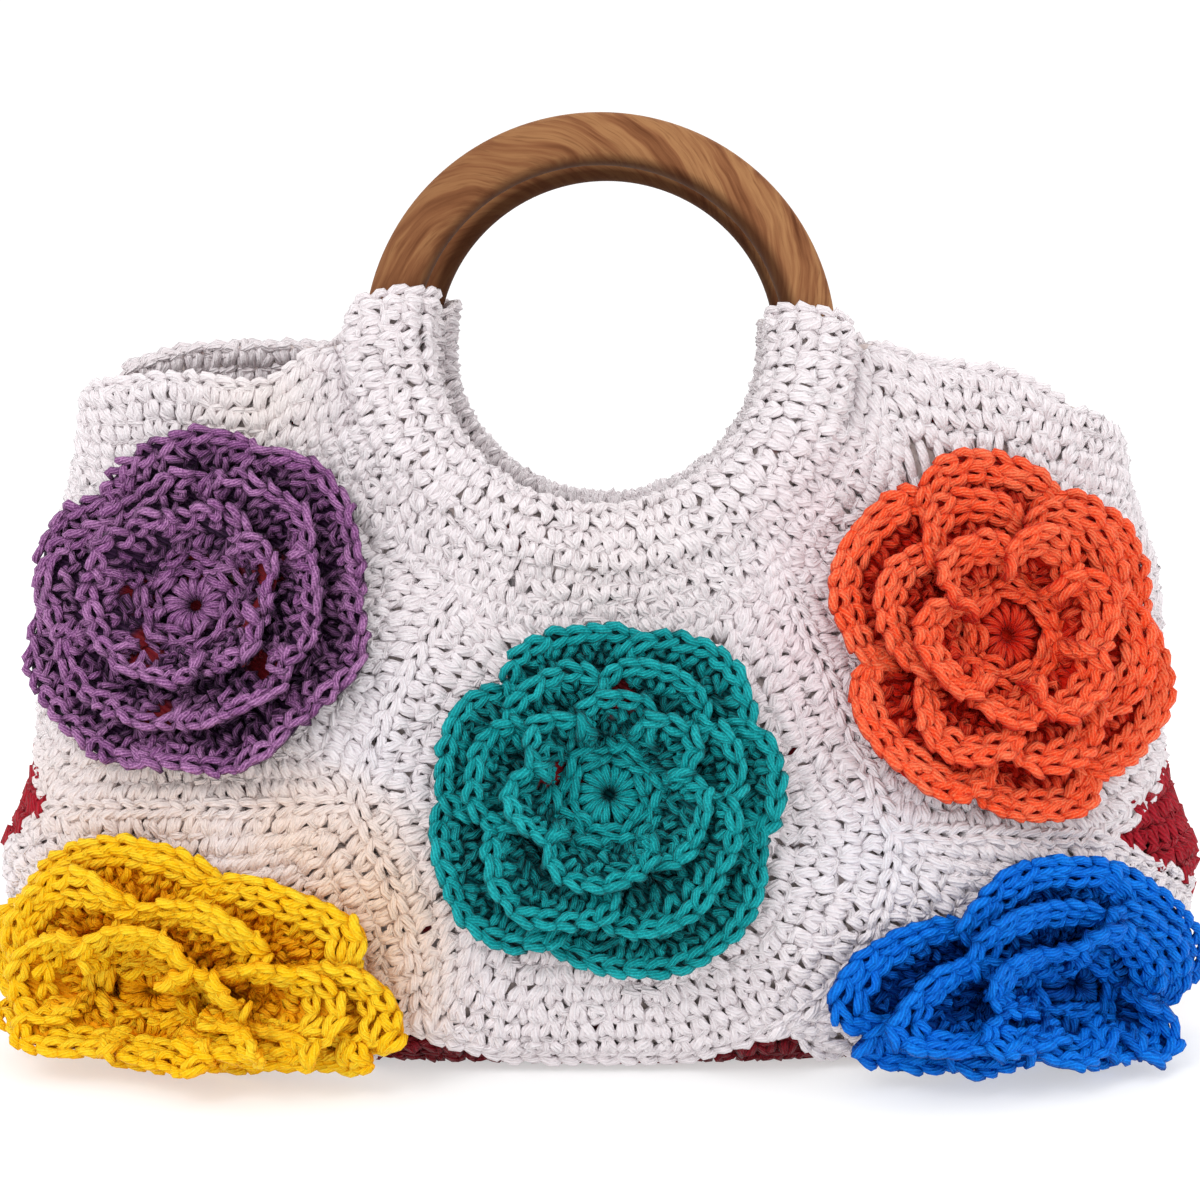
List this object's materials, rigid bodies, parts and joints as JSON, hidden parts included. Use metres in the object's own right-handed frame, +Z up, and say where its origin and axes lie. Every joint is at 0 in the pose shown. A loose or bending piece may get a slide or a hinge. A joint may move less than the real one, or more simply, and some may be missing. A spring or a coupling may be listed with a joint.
{
  "type": "crochet handbag with ring handles",
  "caption": "Open-topped crocheted handbag with two wooden ring handles, layered crochet roses on its front, and a soft body that stands on a flat base.",
  "frame": {"origin": "on the floor under the middle of the base, midway between the front and the back wall", "axes": "+X across the front to the right, -Y the front with the roses, +Z up"},
  "size_m": [0.345, 0.1676, 0.2576],
  "materials": {
    "wood": "satin oiled wood with diagonal grain",
    "white_yarn": "crocheted soft cotton yarn",
    "red_yarn": "crocheted dark red cotton yarn",
    "purple_yarn": "crocheted cotton yarn with a soft sheen",
    "orange_yarn": "crocheted cotton yarn with a soft sheen",
    "teal_yarn": "crocheted cotton yarn with a soft sheen",
    "yellow_yarn": "crocheted cotton yarn with a soft sheen",
    "blue_yarn": "crocheted cotton yarn with a soft sheen"
  },
  "bodies": {
    "root": {"ring_handle_front": "wood", "ring_handle_back": "wood", "sleeve_front": "white_yarn", "sleeve_back": "white_yarn", "motif_purple": "white_yarn", "motif_orange": "white_yarn", "motif_teal": "white_yarn", "motif_yellow": "white_yarn", "motif_blue": "white_yarn", "back_panel": "white_yarn", "gusset_left": "red_yarn", "gusset_right": "red_yarn", "base_panel": "red_yarn", "lining": "red_yarn", "outer_petals_purple": "purple_yarn", "middle_petals_purple": "purple_yarn", "inner_petals_purple": "purple_yarn", "flower_centre_purple": "purple_yarn", "outer_petals_orange": "orange_yarn", "middle_petals_orange": "orange_yarn", "inner_petals_orange": "orange_yarn", "flower_centre_orange": "orange_yarn", "outer_petals_teal": "teal_yarn", "middle_petals_teal": "teal_yarn", "inner_petals_teal": "teal_yarn", "flower_centre_teal": "teal_yarn", "outer_petals_yellow": "yellow_yarn", "middle_petals_yellow": "yellow_yarn", "inner_petals_yellow": "yellow_yarn", "flower_centre_yellow": "yellow_yarn", "outer_petals_blue": "blue_yarn", "middle_petals_blue": "blue_yarn", "inner_petals_blue": "blue_yarn", "flower_centre_blue": "blue_yarn"}
  },
  "joints": []
}
